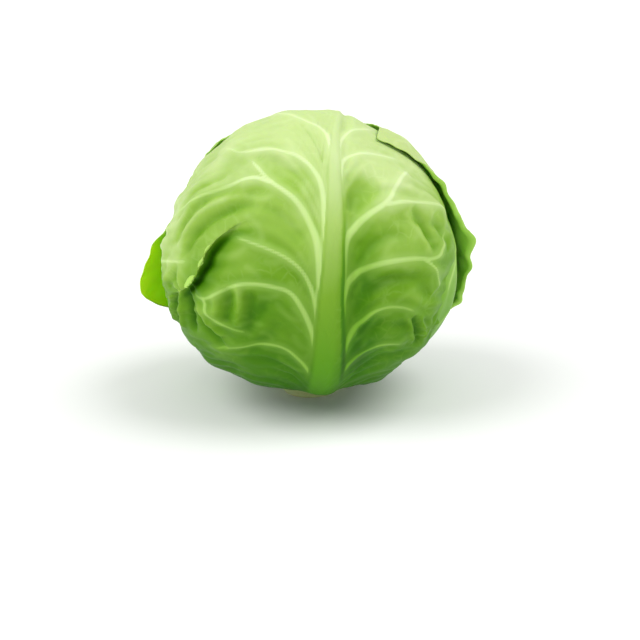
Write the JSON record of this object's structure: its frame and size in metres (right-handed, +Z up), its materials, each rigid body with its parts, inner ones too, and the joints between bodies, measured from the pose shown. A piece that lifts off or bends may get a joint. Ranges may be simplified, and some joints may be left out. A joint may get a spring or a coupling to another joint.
{
  "type": "cabbage head",
  "caption": "Whole round green cabbage head standing on its cut stalk, with loose outer leaves wrapped round a tight heart.",
  "frame": {"origin": "centre of the stalk's flat cut face, on which the head stands", "axes": "+Z up along the head's own axis towards the crown, -Y towards the front, where the cleanest wrapper leaf faces, +X to the right seen from the front"},
  "size_m": [0.1917, 0.1797, 0.17],
  "materials": {
    "wrapper_leaf": "satin",
    "front_leaf": "satin",
    "second_leaf": "satin",
    "third_leaf": "satin",
    "heart_leaf": "satin",
    "stalk": "matte"
  },
  "bodies": {
    "root": {"stalk": "stalk", "heart": "heart_leaf", "wrapper_leaf_left": "wrapper_leaf", "wrapper_leaf_right": "wrapper_leaf", "wrapper_leaf_front": "front_leaf", "second_leaf_left": "second_leaf", "second_leaf_right": "second_leaf", "second_leaf_back": "second_leaf", "third_leaf_front": "third_leaf", "third_leaf_right": "third_leaf", "third_leaf_back": "third_leaf"}
  },
  "joints": []
}
